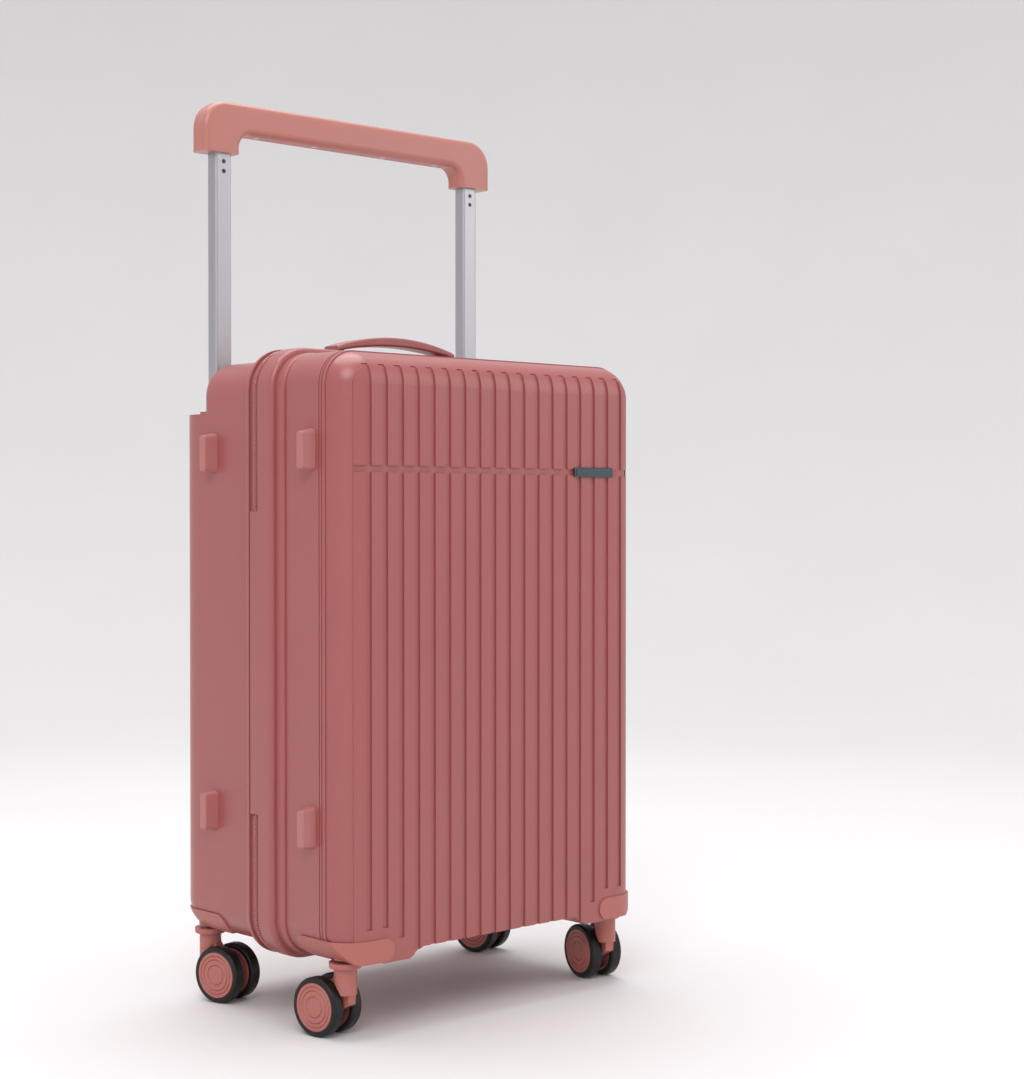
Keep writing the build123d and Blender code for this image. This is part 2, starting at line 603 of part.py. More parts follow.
def tube_bracket():
    """The block that holds the foot of an outer tube to the rear shell."""
    wide = TUBE_WIDE / 2 + TUBE_GAP + OUTER_WALL
    deep = TUBE_DEEP / 2 + TUBE_GAP + OUTER_WALL
    body = block((TUBE_X - wide - 4, TUBE_X + wide + 4), (TUBE_Y - deep - 4, CASE_DEPTH - WALL - FACE_R / 3),
                 (BOSS_TOP_Z + BOSS_GAP, OUTER_LOW_Z + 18))
    socket = Pos(TUBE_X, TUBE_Y) * RectangleRounded(2 * wide, 2 * deep, 3.0)
    return body - Pos(0, 0, OUTER_LOW_Z) * extrude(socket, REACH)


def grip_block():
    """The whole grip as one form: a bar and two legs."""
    low, high = GRIP_LEG_Z, GRIP_TOP_Z
    outer = Pos(0, (low + high) / 2) * Rectangle(2 * GRIP_HALF, high - low)
    corners = outer.vertices().group_by(Axis.Y)[-1]
    outer = fillet(corners, GRIP_OUT_R)
    gap = Pos(0, (low + GRIP_UNDER_Z) / 2 - 5) * Rectangle(2 * GRIP_LEG_IN, GRIP_UNDER_Z - low + 10)
    gap = fillet(gap.vertices().group_by(Axis.Y)[-1], GRIP_IN_R)
    form = Pos(0, TUBE_Y - GRIP_DEEP / 2, 0) * extrude(Plane.XZ * (outer - gap), GRIP_DEEP, dir=ALONG_Y)
    ends = form.faces().filter_by(Axis.Y).edges()
    keep = [edge for edge in ends if edge.center().Z > GRIP_LEG_Z + 0.1]
    return fillet(keep, GRIP_EDGE_R)


def push_channel(grow):
    """Room for the push bar and rods, grown by a clearance."""
    bar = block((-TUBE_X - ROD_R - grow, TUBE_X + ROD_R + grow), (TUBE_Y - ROD_R - grow, TUBE_Y + ROD_R + grow),
                (BAR_Z - BAR_HIGH / 2 - grow, BAR_Z + BAR_HIGH / 2 + grow))
    return bar


def button_block(grow, z_low, z_high):
    face = Pos(0, TUBE_Y) * RectangleRounded(2 * (BUTTON_HALF + grow), BUTTON_DEEP + 2 * grow, 4.0)
    return Pos(0, 0, z_low) * extrude(face, z_high - z_low)


def grip_cover(grow=0.0):
    """The plate that closes the underside of the grip."""
    face = Pos(0, TUBE_Y) * RectangleRounded(2 * (COVER_HALF + grow), COVER_DEEP + 2 * grow, 3.0)
    return Pos(0, 0, GRIP_UNDER_Z - grow) * extrude(face, COVER_THICK + grow)


def grip_screw(x, grow=0.0):
    head = post(x, TUBE_Y, SCREW_HEAD_R + grow, GRIP_UNDER_Z, GRIP_UNDER_Z + 1.5 + grow)
    return head + post(x, TUBE_Y, SCREW_R, GRIP_UNDER_Z + 1.5, GRIP_UNDER_Z + COVER_THICK + 5)


def grip_shell():
    form = grip_block() - grip_cover()
    for side in (LEFT, RIGHT):
        socket = Pos(side * TUBE_X, TUBE_Y) * RectangleRounded(TUBE_WIDE, TUBE_DEEP, 3.0)
        form -= Pos(0, 0, GRIP_LEG_Z - 1) * extrude(socket, TUBE_IN_GRIP + 1)
        form -= post(side * TUBE_X, TUBE_Y, ROD_R + BUTTON_GAP, GRIP_LEG_Z, BAR_Z)
    channel = push_channel(BUTTON_GAP)
    form -= channel + Pos(0, 0, -BUTTON_TRAVEL) * channel
    form -= button_block(BUTTON_GAP, BAR_Z - BUTTON_TRAVEL, GRIP_TOP_Z + 1)
    for x in SCREW_X:
        form -= grip_screw(x)
    return form


def release_button():
    button = button_block(0, BAR_Z + BAR_HIGH / 2, GRIP_TOP_Z + BUTTON_RISE)
    return fillet(button.faces().sort_by(Axis.Z)[-1].edges(), 1.5)


def push_rods():
    """The bar under the button and the rod down each tube, as one piece."""
    rods = [post(side * TUBE_X, TUBE_Y, ROD_R, ROD_LOW_Z, BAR_Z) for side in (LEFT, RIGHT)]
    return push_channel(0) + rods[0] + rods[1]


# ---------------------------------------------------------------- carry handles
def handle_strap():
    """An arched strap with an end tab at each side, standing on Z = 0."""
    end = HANDLE_HALF + TAB_LONG / 2
    shoulder = BRACKET_HIGH + 1.0
    top = ThreePointArc((-end, shoulder + HANDLE_THICK / 2), (0, HANDLE_RISE), (end, shoulder + HANDLE_THICK / 2))
    under = ThreePointArc((end, shoulder - HANDLE_THICK / 2 + 4), (0, HANDLE_RISE - HANDLE_THICK),
                          (-end, shoulder - HANDLE_THICK / 2 + 4))
    closing = [Line(top @ 1, under @ 0), Line(under @ 1, top @ 0)]
    face = Plane.XZ * make_face([top, under, *closing])
    strap = Pos(0, -HANDLE_WIDE / 2, 0) * extrude(face, HANDLE_WIDE, dir=ALONG_Y)
    strap = fillet(strap.edges().filter_by(GeomType.CIRCLE), HANDLE_EDGE_R)
    for side in (LEFT, RIGHT):
        x = side * HANDLE_HALF
        tab = block((x - TAB_LONG / 2, x + TAB_LONG / 2), (-TAB_WIDE / 2, TAB_WIDE / 2), (1.5, shoulder + 2))
        slot_high = CROSS_PIN_Z + CROSS_PIN_R + RUNNING
        slot_low = CROSS_PIN_Z - HANDLE_LIFT - CROSS_PIN_R - RUNNING
        tab -= block((x - CROSS_PIN_R - RUNNING, x + CROSS_PIN_R + RUNNING), (-TAB_WIDE, TAB_WIDE),
                     (slot_low, slot_high))
        strap += tab
    return strap


def handle_brackets():
    """The two brackets of one handle, standing on Z = 0."""
    brackets = []
    for side in (LEFT, RIGHT):
        x = side * HANDLE_HALF
        body = block((x - BRACKET_LONG / 2, x + BRACKET_LONG / 2), (-BRACKET_WIDE / 2, BRACKET_WIDE / 2),
                     (0, BRACKET_HIGH))
        body = fillet(body.edges().filter_by(Axis.Z), 4.0)
        body = fillet(body.faces().sort_by(Axis.Z)[-1].edges(), 2.0)
        body -= block((x - TAB_LONG / 2 - TAB_GAP, x + TAB_LONG / 2 + TAB_GAP),
                      (-TAB_WIDE / 2 - TAB_GAP, TAB_WIDE / 2 + TAB_GAP), (1.0, REACH))
        brackets.append(body - rod_y(x, CROSS_PIN_Z, CROSS_PIN_R, -REACH, REACH))
    return brackets


def handle_pins():
    half = BRACKET_WIDE / 2
    return [rod_y(side * HANDLE_HALF, CROSS_PIN_Z, CROSS_PIN_R, -half, half) for side in (LEFT, RIGHT)]


TOP_PLACE = Pos(0, HANDLE_Y, REAR_TOP_Z)
SIDE_PLACE = Pos(HALF, SIDE_HANDLE_Y, SIDE_HANDLE_Z) * Rot(0, 90, 0)


# ---------------------------------------------------------------- combination lock
def lock_body():
    high, low = LOCK_Z + LOCK_HIGH / 2, LOCK_Z - LOCK_HIGH / 2
    body = block((HALF, HALF + LOCK_OUT), (LOCK_Y - LOCK_WIDE / 2, LOCK_Y + LOCK_WIDE / 2), (low, high))
    body = fillet(body.edges().filter_by(Axis.X), 4.0)
    body = fillet(body.faces().sort_by(Axis.X)[-1].edges(), 1.5)
    x = HALF + LOCK_OUT - DIAL_R + DIAL_PROUD
    for number in range(3):
        z = DIAL_LOW_Z + number * DIAL_PITCH
        room = post(x, LOCK_Y, DIAL_R + BUTTON_GAP, z - DIAL_THICK / 2 - SLIDER_GAP, z + DIAL_THICK / 2 + SLIDER_GAP)
        body -= room
    body += post(x, LOCK_Y, SPINDLE_R, DIAL_LOW_Z - DIAL_PITCH, DIAL_LOW_Z + 3 * DIAL_PITCH)
    return body - rod_x(LOCK_Y, LOCK_BUTTON_Z, LOCK_BUTTON_R + SLIDER_GAP, HALF + 2, REACH)


def lock_dial(number):
    """One number wheel; it turns on the lock's spindle."""
    x = HALF + LOCK_OUT - DIAL_R + DIAL_PROUD
    z = DIAL_LOW_Z + number * DIAL_PITCH
    wheel = post(x, LOCK_Y, DIAL_R, z - DIAL_THICK / 2, z + DIAL_THICK / 2)
    wheel = chamfer(wheel.edges().filter_by(GeomType.CIRCLE), 0.5)
    return wheel - post(x, LOCK_Y, SPINDLE_R + RUNNING, 0, REACH * 2)


def lock_button():
    inner = HALF + 2 + LOCK_BUTTON_OUT
    button = rod_x(LOCK_Y, LOCK_BUTTON_Z, LOCK_BUTTON_R, inner, HALF + LOCK_OUT + LOCK_BUTTON_OUT)
    return chamfer(button.faces().sort_by(Axis.X)[-1].edges(), 0.6)


# ---------------------------------------------------------------- lining
def lining(y_low, top_z):
    width = CASE_WIDTH - 2 * (WALL + LINING_GAP)
    return rounded_y(width, BOSS_TOP_Z + LINING_GAP, top_z - WALL - LINING_GAP, CORNER_R - LINING_GAP,
                     y_low, y_low + LINING_THICK)


def packing_straps():
    """Four webbing legs from the corners to the buckle, just in front of the lining."""
    low_y = LINING_REAR_Y - STRAP_THICK - HINGE_GAP
    legs = []
    for side in (LEFT, RIGHT):
        for up in (-1, 1):
            start = Vector(side * BUCKLE / 2 * 0.8, STRAP_MID_Z + up * BUCKLE / 2 * 0.8)
            end = Vector(side * STRAP_HALF_X, STRAP_MID_Z + up * STRAP_HALF_Z)
            run = end - start
            across = Vector(-run.Y, run.X).normalized() * (STRAP_WIDE / 2)
            corners = [start + across, end + across, end - across, start - across]
            legs.append(outline_y([(p.X, p.Y) for p in corners], low_y, low_y + STRAP_THICK))
    plate = strap_buckle()
    return solids(*[leg - plate for leg in legs])


def strap_buckle():
    low_y = LINING_REAR_Y - 6 * STRAP_THICK
    plate = rounded_y(BUCKLE, STRAP_MID_Z - BUCKLE / 2, STRAP_MID_Z + BUCKLE / 2, 8.0, low_y,
                      LINING_REAR_Y - HINGE_GAP)
    return fillet(plate.faces().sort_by(Axis.Y)[0].edges(), 2.0)


# ---------------------------------------------------------------- build every piece
os.makedirs("parts", exist_ok=True)

save("front_shell", front_shell())
save("rear_shell", rear_shell())
save("side_feet_front", side_feet(FOOT_FRONT_Y))
save("side_feet_rear", side_feet(FOOT_REAR_Y))
save("badge", badge())

save("zip_tape_front", zip_tape(FRONT_RIM_Y - TAPE_LAP, SPLIT_Y - ZIP_GAP))
save("zip_tape_rear", zip_tape(SPLIT_Y + ZIP_GAP, REAR_RIM_Y + REAR_TAPE_LAP))
save("zip_coil_front", zip_coil(SPLIT_Y - ZIP_GAP - COIL_WIDTH, SPLIT_Y - ZIP_GAP))
save("zip_coil_rear", zip_coil(SPLIT_Y + ZIP_GAP, SPLIT_Y + ZIP_GAP + COIL_WIDTH))
save("hinge_strip", hinge_strip())
for label, slider_z in zip(("upper", "lower"), SLIDER_Z):
    save(f"zip_slider_{label}", zip_slider(slider_z))
    save(f"zip_pull_{label}", zip_pull(slider_z))

for end, is_front in (("front", True), ("rear", False)):
    right_guard = guard(is_front)
    save(f"guard_{end}_right", right_guard)
    save(f"guard_{end}_left", mirror(right_guard, Plane.YZ))
    save(f"swivel_pins_{end}", swivel_pins(STEM_FRONT_Y if is_front else STEM_REAR_Y))
caster("front_left", -STEM_X, STEM_FRONT_Y, 8)
caster("front_right", STEM_X, STEM_FRONT_Y, -11)
caster("rear_left", -STEM_X, STEM_REAR_Y, 193)
caster("rear_right", STEM_X, STEM_REAR_Y, 190)

save("outer_tubes", solids(*mirrored(outer_tube())))
save("tube_collars", solids(*mirrored(tube_collar())))
save("tube_brackets", solids(*mirrored(tube_bracket())))
save("inner_tubes", solids(*mirrored(inner_tube())))
save("tube_pins", tube_pins())
save("grip_shell", grip_shell())
save("grip_cover", grip_cover() - Compound(children=[grip_screw(x) for x in SCREW_X]))
save("grip_screws", solids(*[grip_screw(x) for x in SCREW_X]))
save("release_button", release_button())
save("push_rods", push_rods())

save("top_handle", TOP_PLACE * handle_strap())
save("side_handle", SIDE_PLACE * handle_strap())
save("handle_brackets", solids(*[place * piece for place in (TOP_PLACE, SIDE_PLACE) for piece in handle_brackets()]))
save("handle_pins", solids(*[place * pin for place in (TOP_PLACE, SIDE_PLACE) for pin in handle_pins()]))

save("lock_body", lock_body())
for dial in range(3):
    save(f"lock_dial_{dial + 1}", lock_dial(dial))
save("lock_button", lock_button())

save("front_lining", lining(LINING_FRONT_Y, FRONT_TOP_Z))
save("rear_lining", lining(LINING_REAR_Y, REAR_TOP_Z))
save("packing_straps", packing_straps())
save("strap_buckle", strap_buckle())
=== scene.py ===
# %% [markdown]
# # A hard shell spinner suitcase
#
# The rigid parts of this suitcase come from a CAD model: shells, casters, trolley, lock and
# handles.  They are already the right shape, so here they only get finishes.  The soft parts
# (zip tapes, linings, straps, hinge strip) and the zip's teeth are built as new meshes.

# %% Load the frame
import math

import bpy
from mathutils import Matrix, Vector


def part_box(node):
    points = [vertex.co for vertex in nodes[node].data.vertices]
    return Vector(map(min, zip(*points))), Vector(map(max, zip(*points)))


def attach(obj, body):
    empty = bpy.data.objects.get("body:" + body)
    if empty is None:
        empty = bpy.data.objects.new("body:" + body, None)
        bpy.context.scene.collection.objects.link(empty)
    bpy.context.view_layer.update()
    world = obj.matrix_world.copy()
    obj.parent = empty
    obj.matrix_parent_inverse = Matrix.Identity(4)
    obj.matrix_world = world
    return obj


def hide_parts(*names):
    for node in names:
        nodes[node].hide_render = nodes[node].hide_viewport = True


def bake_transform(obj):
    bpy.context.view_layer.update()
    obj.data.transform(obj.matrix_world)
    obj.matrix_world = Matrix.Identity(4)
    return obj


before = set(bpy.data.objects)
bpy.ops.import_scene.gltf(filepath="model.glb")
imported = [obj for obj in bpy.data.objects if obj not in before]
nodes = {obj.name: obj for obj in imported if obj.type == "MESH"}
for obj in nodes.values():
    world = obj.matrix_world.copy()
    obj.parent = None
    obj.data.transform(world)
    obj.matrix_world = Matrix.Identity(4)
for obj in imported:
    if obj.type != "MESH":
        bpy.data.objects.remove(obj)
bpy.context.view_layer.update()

# %% [markdown]
# ## Places that everything shares
#
# All lengths are in metres.  The zip tapes run all the way round the rim, so their boxes give
# the middle of the case and its size.  The zip stops on a stretch of the left side, where a
# cloth strip joins the two shells instead.

# %% Shared places
MM = 0.001
tape_low, tape_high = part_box("zip_tape_rear")
front_tape_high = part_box("zip_tape_front")[1]
CASE_X = (tape_low.x + tape_high.x) / 2
RIM_HALF = (tape_high.x - tape_low.x) / 2
RIM_LOW, RIM_HIGH = tape_low.z, tape_high.z
RIM_R = 42.5 * MM
SPLIT_Y = (front_tape_high.y + tape_low.y) / 2
hinge_low, hinge_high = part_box("hinge_strip")
ZIP_STOP_LOW, ZIP_STOP_HIGH = hinge_low.z - 1 * MM, hinge_high.z + 1 * MM
print("case middle", round(CASE_X, 4), "split plane", round(SPLIT_Y, 4), "rim", round(RIM_HALF, 4))

# %% [markdown]
# ## Shader arithmetic
#
# A finish is easier to read as a formula than as a heap of nodes.  `Wire` wraps one shader
# output and gives it Python's operators, each of which adds a Math node.  `Finish` holds one
# material and has a single method that adds any node: its settings go in first, then its inputs.


# %% Wire and Finish
class Wire:
    """One shader output; arithmetic on it adds Math nodes."""

    def __init__(self, finish, socket):
        self.finish = finish
        self.socket = socket

    def math(self, operation, first, second):
        return self.finish.add("ShaderNodeMath", {"operation": operation}, [first, second])

    def __add__(self, other):
        return self.math("ADD", self, other)

    def __radd__(self, other):
        return self.math("ADD", other, self)

    def __sub__(self, other):
        return self.math("SUBTRACT", self, other)

    def __rsub__(self, other):
        return self.math("SUBTRACT", other, self)

    def __mul__(self, other):
        return self.math("MULTIPLY", self, other)

    def __rmul__(self, other):
        return self.math("MULTIPLY", other, self)


class Finish:
    """One material: a principled surface plus the nodes that drive it."""

    def __init__(self, name, **constants):
        self.material = bpy.data.materials.new(name)
        self.material.use_nodes = True
        self.nodes = self.material.node_tree.nodes
        self.surface = self.nodes["Principled BSDF"]
        for socket, value in constants.items():
            self.surface.inputs[socket.replace("_", " ")].default_value = value
        self.place = self.add("ShaderNodeTexCoord", {}, {}, "Object")

    def link(self, value, socket):
        if isinstance(value, Wire):
            self.material.node_tree.links.new(value.socket, socket)
        else:
            socket.default_value = value

    def add(self, kind, settings, inputs, output=0):
        """Adds any node and returns one of its outputs as a Wire."""
        node = self.nodes.new(kind)
        for name, value in settings.items():
            setattr(node, name, value)
        pairs = inputs.items() if isinstance(inputs, dict) else enumerate(inputs)
        for key, value in pairs:
            self.link(value, node.inputs[key])
        return Wire(self, node.outputs[output])

    def feed(self, socket, value):
        self.link(value, self.surface.inputs[socket])

    def stretched(self, x, y, z):
        """The object's own coordinates, stretched along each axis."""
        return self.add("ShaderNodeVectorMath", {"operation": "MULTIPLY"}, [self.place, (x, y, z)])

    def noise(self, size, detail=2.0, where=None):
        """Cloudy noise with features of about `size` metres."""
        where = where or self.place
        inputs = {"Vector": where, "Scale": 1 / size, "Detail": detail}
        return self.add("ShaderNodeTexNoise", {}, inputs, 0)

    def bands(self, axis, pitch):
        """A smooth wave across one axis, from 0 to 1."""
        settings = {"wave_type": "BANDS", "bands_direction": axis}
        return self.add("ShaderNodeTexWave", settings, {"Vector": self.place, "Scale": math.pi / 10 / pitch}, 1)

    def mix(self, factor, first, second):
        """A colour between two colours."""
        inputs = {"Factor": factor, 6: first, 7: second}
        return self.add("ShaderNodeMix", {"data_type": "RGBA"}, inputs, 2)

    def bump(self, height, depth, strength=1.0):
        inputs = {"Height": height, "Distance": depth, "Strength": strength}
        self.feed("Normal", self.add("ShaderNodeBump", {}, inputs))


def shade(colour, factor):
    """A lighter or darker copy of a colour."""
    return tuple(min(1.0, part * factor) for part in colour[:3]) + (1.0,)


# %% [markdown]
# ## Moulded plastic
#
# The shells are vacuum-formed sheet and the trim is injection-moulded, both rose all through.
# A real moulding is never one flat colour: the tone drifts a little over the panel, the tool
# leaves a very fine spark-eroded grain, and handling polishes patches of it.  So one function
# mixes two tones with large noise and uses small noise for both grain and gloss.


# %% Plastic finishes
def moulded(name, colour, roughness, grain=0.00006, drift=0.05, coat=0.0, rubbed=0.05):
    """Coloured plastic with tone drift, tool grain and uneven gloss."""
    finish = Finish(name, IOR=1.5, Coat_Weight=coat, Coat_Roughness=0.25)
    cloud = finish.noise(0.09, 3.0)
    speck = finish.noise(0.0011, 2.0)
    tone = cloud * 0.8 + speck * 0.2
    finish.feed("Base Color", finish.mix(tone, shade(colour, 1 - drift), shade(colour, 1 + drift)))
    handled = finish.noise(0.035, 4.0)
    finish.feed("Roughness", roughness - rubbed + 2 * rubbed * handled)
    finish.bump(speck, grain)
    return finish.material


ROSE = (0.325, 0.085, 0.080)
rose_shell = moulded("rose_shell_plastic", ROSE, 0.38, coat=0.3)
rose_trim = moulded("rose_trim_plastic", (0.410, 0.126, 0.106), 0.44, grain=0.00004, drift=0.03)
rose_wheel = moulded("rose_wheel_plastic", (0.415, 0.130, 0.108), 0.36, grain=0.00003, drift=0.03)
# The feet's rose is set lighter than the shell's: painted light for the light on their slanted faces.
rose_foot_painted_light = moulded("rose_foot_plastic_painted_light", (0.415, 0.142, 0.136), 0.36, grain=0.00004, drift=0.03, coat=0.2)
rose_grip = moulded("rose_grip_plastic", (0.430, 0.160, 0.130), 0.34, grain=0.00004, drift=0.03, coat=0.1)
black_plastic = moulded("black_plastic", (0.018, 0.018, 0.020), 0.45, grain=0.00005, drift=0.2)
dial_plastic = moulded("pale_dial_plastic", (0.62, 0.62, 0.60), 0.40, grain=0.00002, drift=0.03)
print("plastic finishes made")

# %% [markdown]
# ## Metal
#
# The trolley tubes are drawn aluminium, blasted and anodised: fine lines run along each tube
# and blur its highlights.  The same idea with other axes and tones gives brushed and plated
# steel.  Stretching the coordinates before the noise is what turns dots into lines.


# %% Metal finishes
def brushed(name, colour, roughness, along, depth=0.00002, spread=0.10):
    """Metal with fine lines along one axis: `along` is 0, 1 or 2."""
    finish = Finish(name, Metallic=1.0)
    stretch = [1.0, 1.0, 1.0]
    stretch[along] = 0.02
    lines = finish.noise(0.0007, 3.0, finish.stretched(*stretch))
    cloud = finish.noise(0.06)
    finish.feed("Base Color", finish.mix(cloud * 0.5 + lines * 0.5, shade(colour, 0.93), shade(colour, 1.05)))
    finish.feed("Roughness", roughness - spread / 2 + spread * lines)
    finish.bump(lines, depth)
    return finish.material


anodised = brushed("anodised_tube", (0.45, 0.45, 0.47), 0.38, 2)
badge_metal = brushed("slate_badge_plate", (0.085, 0.105, 0.120), 0.34, 0)
# Brighter metal for the badge's painted highlight strip.
badge_painted_highlight = brushed("badge_painted_highlight_metal", (0.55, 0.57, 0.60), 0.28, 2)
plated_steel = brushed("plated_steel", (0.50, 0.50, 0.51), 0.30, 1)
zip_metal = brushed("dark_zip_metal", (0.20, 0.12, 0.12), 0.32, 2)
print("metal finishes made")

# %% [markdown]
# ## Tyres, cloth and webbing
#
# The tyres are soft grey-black elastomer that picks up dust.  Cloth is two waves at right
# angles: where they cross, the threads pass over and under each other.  A nylon zip coil is
# smooth; its colour is set lighter than its tape, a painted highlight for glints on the teeth.


# %% Soft finishes
def rubber(name):
    finish = Finish(name, IOR=1.40)
    dust = finish.noise(0.012, 5.0)
    finish.feed("Base Color", finish.mix(dust, (0.004, 0.004, 0.004, 1), (0.012, 0.011, 0.010, 1)))
    finish.feed("Roughness", 0.34 + 0.16 * dust)
    finish.bump(finish.noise(0.0008, 2.0), 0.00005)
    return finish.material


def woven(name, colour, pitch, across, up, roughness=0.85, depth=0.00018, sheen=0.25):
    """Cloth whose threads run along two named axes."""
    finish = Finish(name, Sheen_Weight=sheen, Sheen_Roughness=0.5)
    first = finish.bands(across, pitch)
    second = finish.bands(up, pitch)
    weave = first * second + (1 - first) * (1 - second)
    slub = finish.noise(0.006, 3.0)
    tone = weave * 0.6 + slub * 0.4
    finish.feed("Base Color", finish.mix(tone, shade(colour, 0.80), shade(colour, 1.12)))
    finish.feed("Roughness", roughness - 0.06 + 0.12 * slub)
    finish.bump(weave, depth)
    return finish.material


tyre_rubber = rubber("tyre_rubber")
zip_cloth = woven("zip_tape_cloth", (0.310, 0.080, 0.078), 0.0009, "Y", "DIAGONAL", roughness=0.7, sheen=0.08)
# The coil's lighter colour is a painted highlight standing in for glints on the teeth.
zip_nylon_painted_glint = moulded("zip_coil_nylon_painted_glint", (0.480, 0.170, 0.168), 0.18, grain=0.00002, drift=0.06)
lining_cloth = woven("grey_lining_cloth", (0.105, 0.105, 0.118), 0.0012, "X", "Z", sheen=0.3)
edge_cloth = woven("grey_binding_cloth", (0.055, 0.055, 0.062), 0.0010, "Y", "DIAGONAL")
webbing = woven("black_strap_webbing", (0.030, 0.030, 0.033), 0.0016, "X", "DIAGONAL", depth=0.0003)
print("soft finishes made")

# %% [markdown]
# ## Dress the CAD parts
#
# A CAD part keeps its mesh; only its material slots change.  A table from finish to the names
# of the parts reads like a parts list.

# %% Finish for every rigid part
dressed = {
    rose_trim: ["handle_brackets", "tube_collars", "grip_cover"]
    + [f"guard_{end}_{side}" for end in ("front", "rear") for side in ("left", "right")],
    rose_foot_painted_light: ["side_feet_front", "side_feet_rear"],
    rose_shell: ["front_shell", "rear_shell", "top_handle", "side_handle"],
    rose_grip: ["grip_shell", "release_button", "lock_button"],
    anodised: ["inner_tubes", "outer_tubes"],
    plated_steel: ["swivel_pins_front", "swivel_pins_rear", "handle_pins", "grip_screws"],
    zip_metal: [f"zip_{part}_{which}" for part in ("slider", "pull") for which in ("upper", "lower")],
    badge_metal: ["badge"],
    black_plastic: ["tube_pins", "tube_brackets", "push_rods", "lock_body", "strap_buckle"],
    dial_plastic: ["lock_dial_1", "lock_dial_2", "lock_dial_3"],
}
for corner in ("front_left", "front_right", "rear_left", "rear_right"):
    dressed[rose_wheel] = dressed.get(rose_wheel, []) + [f"fork_{corner}", f"hubs_{corner}"]
    dressed[tyre_rubber] = dressed.get(tyre_rubber, []) + [f"tyres_{corner}"]
    dressed[plated_steel].append(f"axle_{corner}")

for material, names in dressed.items():
    for name in names:
        for material_slot in nodes[name].material_slots:
            material_slot.material = material
print(sum(len(names) for names in dressed.values()), "rigid parts dressed")

# %% [markdown]
# ## Making a mesh piece
#
# Every new piece goes through one helper.  It makes the mesh, gives it a finish, hides the CAD
# nodes it stands for, and says which body it rides on.


# %% Helper for new pieces
def piece(name, points, faces, material, body, stands_for=(), smooth=True):
    mesh = bpy.data.meshes.new(name)
    mesh.from_pydata(points, [], faces)
    mesh.validate()
    mesh.shade_smooth() if smooth else mesh.shade_flat()
    mesh.materials.append(material)
    made = bpy.data.objects.new(name, mesh)
    bpy.context.scene.collection.objects.link(made)
    if stands_for:
        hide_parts(*stands_for)
    if body:
        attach(made, body)
    print(name, len(mesh.polygons), "faces")
    return made


def rim_path(out, step, low_stop, high_stop):
    """Points round the rim from the zip's upper stop, over the top and back to its lower stop.

    Each is (x, z, outward x, outward z), `out` metres outside the zip tape."""
    half, low, high, radius = RIM_HALF + out, RIM_LOW - out, RIM_HIGH + out, RIM_R + out
    corners = [(-1, 1, 180), (1, 1, 90), (1, -1, 0), (-1, -1, -90)]
    run = [(CASE_X - half, high_stop, -1.0, 0.0)]
    for side, up, start in corners:
        centre_x = CASE_X + side * (half - radius)
        centre_z = high - radius if up > 0 else low + radius
        turns = max(4, round(radius * math.pi / 2 / step))
        for turn in range(turns + 1):
            angle = math.radians(start - 90 * turn / turns)
            away_x, away_z = math.cos(angle), math.sin(angle)
            run.append((centre_x + radius * away_x, centre_z + radius * away_z, away_x, away_z))
    run.append((CASE_X - half, low_stop, -1.0, 0.0))
    return even_steps(run, step)


def even_steps(run, step):
    """The same path cut into equal steps, for teeth and stitches."""
    points, spare = [run[0]], 0.0
    for first, last in zip(run, run[1:]):
        length = math.hypot(last[0] - first[0], last[1] - first[1])
        travelled = step - spare
        while travelled <= length:
            share = travelled / length
            points.append(tuple(a + (b - a) * share for a, b in zip(first, last)))
            travelled += step
        spare = length - (travelled - step)
    return points


# %% [markdown]
# ## Zip tapes
#
# A zip tape is a flat woven band about 15 mm wide with a thicker cord edge by the coil.  It is
# sewn to the inside of each shell's rim, so only its middle shows.  Sweeping one small profile
# round the rim keeps its thickness and its raised edge in every corner.


# %% Tape and its stitches
def swept(path, profile):
    """Sweeps a closed (depth, height) profile along a path; returns points and faces."""
    points = [(x + ax * height, y, z + az * height) for x, z, ax, az in path for y, height in profile]
    count = len(profile)
    faces = []
    for row in range(len(path) - 1):
        for column in range(count):
            after = (column + 1) % count
            base = row * count
            faces.append((base + column, base + after, base + count + after, base + count + column))
    last = (len(path) - 1) * count
    faces.append(tuple(range(count - 1, -1, -1)))
    faces.append(tuple(range(last, last + count)))
    return points, faces


def zip_tape(name, node, body, toward):
    """`toward` is +1 on the front tape, whose coil edge is at its high Y, and -1 on the rear one."""
    low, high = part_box(node)
    coil_edge = high.y if toward > 0 else low.y
    far_edge = low.y if toward > 0 else high.y
    thick = 1.1 * MM
    cord = coil_edge - toward * 3.2 * MM
    profile = [(far_edge, -thick), (far_edge, 0.0), (cord - toward * 1.6 * MM, 0.0), (cord, 0.45 * MM),
               (coil_edge - toward * 1.6 * MM, 0.45 * MM), (coil_edge, 0.0), (coil_edge, -thick)]
    path = rim_path(0.0, 4 * MM, ZIP_STOP_LOW, ZIP_STOP_HIGH)
    points, faces = swept(path, profile)
    return piece(name, points, faces, zip_cloth, body, [node], smooth=False)


def stitches(name, body, y, out):
    """A row of short raised thread loops along the rim."""
    points, faces = [], []
    for x, z, away_x, away_z in rim_path(out, 3.4 * MM, ZIP_STOP_LOW, ZIP_STOP_HIGH)[1:-1]:
        along_x, along_z = away_z, -away_x
        base = len(points)
        for share, width, height in ((-1, 0.15, 0.0), (-0.5, 0.35, 0.35), (0.5, 0.35, 0.35), (1, 0.15, 0.0)):
            for side in (-1, 1):
                reach = share * 1.2 * MM
                points.append((x + along_x * reach + away_x * height * MM, y + side * width * MM,
                               z + along_z * reach + away_z * height * MM))
        faces += [(base + k, base + k + 2, base + k + 3, base + k + 1) for k in (0, 2, 4)]
    return piece(name, points, faces, zip_cloth, body)


